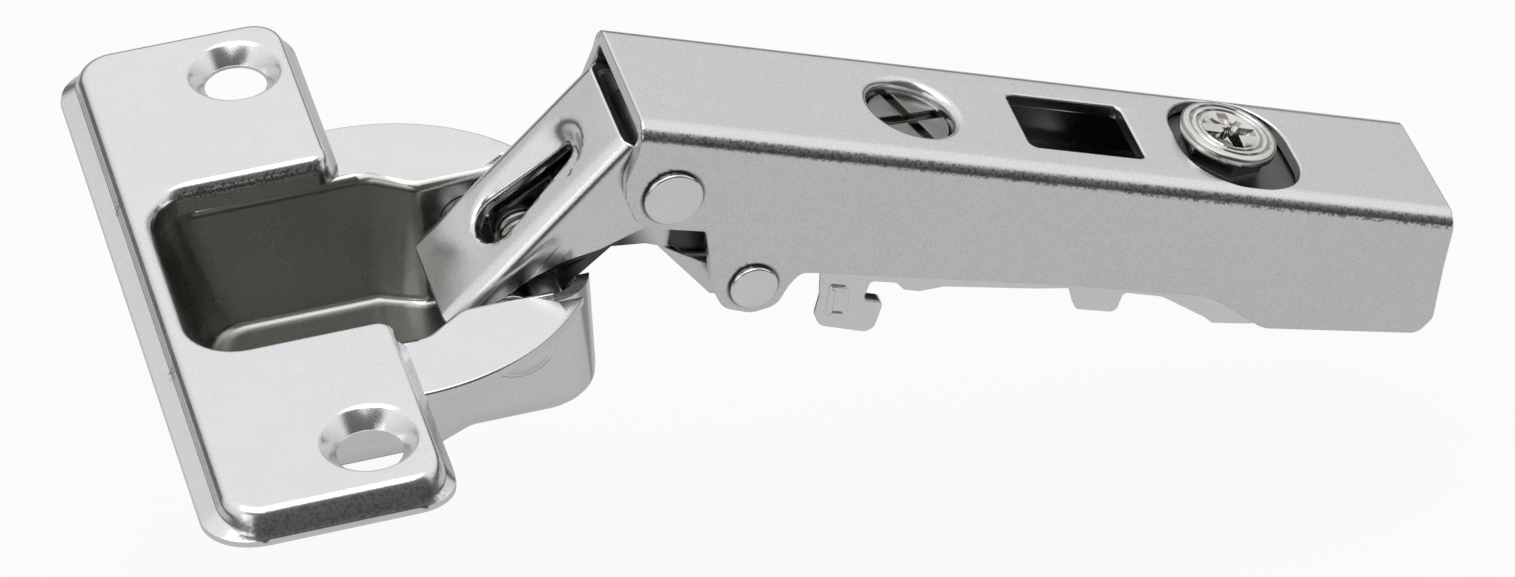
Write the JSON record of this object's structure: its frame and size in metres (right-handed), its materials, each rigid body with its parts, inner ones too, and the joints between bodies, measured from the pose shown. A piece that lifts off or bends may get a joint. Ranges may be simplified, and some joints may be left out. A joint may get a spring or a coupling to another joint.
{
  "type": "concealed cup hinge",
  "caption": "Concealed cabinet hinge: a drawn steel cup with a screw flange, paired arched links folding on pivots, and a channel arm with depth and side adjustment.",
  "frame": {"origin": "centre of the cup's boring, in the surface of the door", "axes": "+X from the cup towards the arm, +Y along the pivots, +Z out of the door"},
  "size_m": [0.1082, 0.0622, 0.0375],
  "materials": {
    "nickel_steel": "nickel plate, fine satin grain",
    "polished_rivet": "bright rolled rivet steel",
    "zinc_steel": "pale blue zinc plate",
    "screw_steel": "bright turned steel",
    "spring_steel": "dark drawn spring wire and strip"
  },
  "bodies": {
    "cup": {"cup_shell": "nickel_steel", "outer_link_cup_rivets": "polished_rivet", "outer_link_cup_spacers": "polished_rivet", "inner_link_cup_pin": "polished_rivet", "inner_link_cup_spacers": "polished_rivet", "closing_spring": "spring_steel"},
    "outer_link": {"outer_link": "nickel_steel"},
    "inner_link": {"inner_link": "nickel_steel"},
    "arm": {"arm_shell": "nickel_steel", "outer_link_arm_rivet": "polished_rivet", "outer_link_arm_washers": "polished_rivet", "link_spacer_sleeve": "polished_rivet", "inner_link_arm_rivet": "polished_rivet", "inner_link_arm_bushes": "polished_rivet"},
    "side_screw": {"side_adjusting_screw": "screw_steel", "side_screw_retainer": "spring_steel"},
    "side_nut": {"slide_nut": "screw_steel"},
    "clamp": {"threaded_block": "zinc_steel", "clamp_plate": "zinc_steel"},
    "carriage": {"carriage": "zinc_steel", "plate_catch_spring": "spring_steel"},
    "fixing_screw": {"fixing_screw": "screw_steel"}
  },
  "joints": [
    {"name": "outer_link_fold", "type": "hinge", "parent": "cup", "child": "outer_link", "pos_m": [0.00905, 0, -0.0042], "axis": [0, -1, 0], "range_deg": [0, 120.8]},
    {"name": "arm_fold", "type": "hinge", "parent": "outer_link", "child": "arm", "pos_m": [0.0226, 0, 0.0059], "axis": [0, -1, 0], "range_deg": [-9.7, 0]},
    {"name": "inner_link_fold", "type": "hinge", "parent": "cup", "child": "inner_link", "pos_m": [0.01225, 0, -0.00225], "axis": [0, -1, 0], "range_deg": [0, 138.65], "deforming": ["closing_spring"]},
    {"name": "side_screw_turn", "type": "hinge", "parent": "arm", "child": "side_screw", "pos_m": [0.04368, 0, 0.00257], "axis": [0.3606, 0, 0.9327], "range_deg": [-397, 397]},
    {"name": "side_nut_travel", "type": "slide", "parent": "arm", "child": "side_nut", "axis": [0.3606, 0, 0.9327], "range_m": [-0.00088, 0.00088]},
    {"name": "depth_slide", "type": "slide", "parent": "arm", "child": "clamp", "axis": [0.9327, 0, -0.3606], "range_m": [-0.0007, 0.0025]},
    {"name": "side_tilt", "type": "hinge", "parent": "clamp", "child": "carriage", "pos_m": [0.06701, 0, -0.01503], "axis": [0, 1, 0], "range_deg": [-1.81, 1.81]},
    {"name": "fixing_screw_turn", "type": "hinge", "parent": "clamp", "child": "fixing_screw", "pos_m": [0.07047, 0, -0.00607], "axis": [0.3606, 0, 0.9327], "range_deg": [0, 360]}
  ],
  "couplings": [
    {"joint": "arm_fold", "follows": "outer_link_fold", "ratio": -0.079967},
    {"joint": "inner_link_fold", "follows": "outer_link_fold", "ratio": 1.1474},
    {"joint": "side_screw_turn", "follows": "side_nut_travel", "rad_per_m": -7854},
    {"joint": "side_tilt", "follows": "side_nut_travel", "rad_per_m": 35.587}
  ]
}
